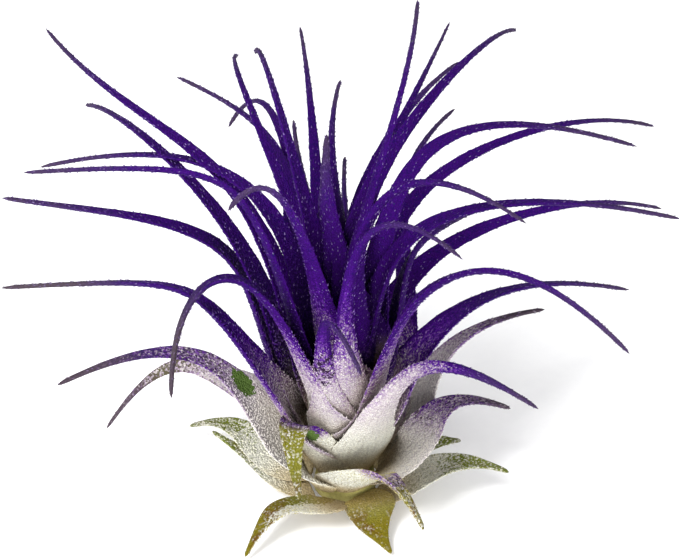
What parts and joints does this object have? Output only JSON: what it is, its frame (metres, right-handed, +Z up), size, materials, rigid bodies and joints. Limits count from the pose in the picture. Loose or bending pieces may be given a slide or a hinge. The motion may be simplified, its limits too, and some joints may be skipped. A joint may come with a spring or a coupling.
{
  "type": "guatemala ionantha air plant",
  "caption": "Bare rosette air plant with broad felted leaf sheaths and long arching narrow blades, dyed violet, standing on the foot of its short stem.",
  "frame": {"origin": "middle of the flat foot of the stem, on the surface that the plant stands on", "axes": "+Z up along the stem, -Y the front that faces the viewer, +X to the viewer's right"},
  "size_m": [0.1084, 0.0847, 0.0711],
  "materials": {
    "violet_leaf": "violet dyed leaf with a fine grey scaly bloom",
    "felted_leaf": "leaf with a dense white felt of scales and a violet or green blade",
    "green_leaf": "old undyed leaf, grey green to olive, scaly",
    "dry_stem": "dry brown stem foot"
  },
  "bodies": {
    "root": {"stem": "dry_stem", "heart_leaves": "violet_leaf", "leaf_00_low_left": "green_leaf", "leaf_01_low_right": "green_leaf", "leaf_02_low_back": "green_leaf", "leaf_03_low_front_left": "green_leaf", "leaf_04_low_back_right": "green_leaf", "leaf_05_low_back_left": "green_leaf", "leaf_06_low_front": "green_leaf", "leaf_07_back": "green_leaf", "leaf_08_left": "felted_leaf", "leaf_09_right": "felted_leaf", "leaf_10_left_drooping": "felted_leaf", "leaf_11_front": "felted_leaf", "leaf_12_back_right_low": "felted_leaf", "leaf_14_right_short": "felted_leaf", "leaf_15_back_curled": "felted_leaf", "leaf_16_front_left_short": "felted_leaf", "leaf_18_back_left_long": "violet_leaf", "leaf_19_front_right": "violet_leaf", "leaf_20_right_long": "violet_leaf", "leaf_21_left_long": "violet_leaf", "leaf_22_right_drooping": "violet_leaf", "leaf_23_back_long": "violet_leaf", "leaf_24_front_sheath": "violet_leaf", "leaf_26_left_arched": "violet_leaf", "leaf_27_front_right_long": "violet_leaf", "leaf_28_back_right_long": "violet_leaf", "leaf_29_hooked": "violet_leaf", "leaf_30_right_inner": "violet_leaf", "leaf_31_back_left_high": "violet_leaf", "leaf_32_centre_right_small": "violet_leaf", "leaf_33_right_arched": "violet_leaf", "leaf_34_left_high": "violet_leaf", "leaf_36_back_high": "violet_leaf", "leaf_37_centre_left_hooked": "violet_leaf", "leaf_38_right_high": "violet_leaf", "leaf_39_left_inner": "violet_leaf", "leaf_40_centre_right": "violet_leaf", "leaf_41_back_right_high": "violet_leaf", "leaf_43_right_top": "violet_leaf", "leaf_44_back_inner": "violet_leaf"}
  },
  "joints": []
}
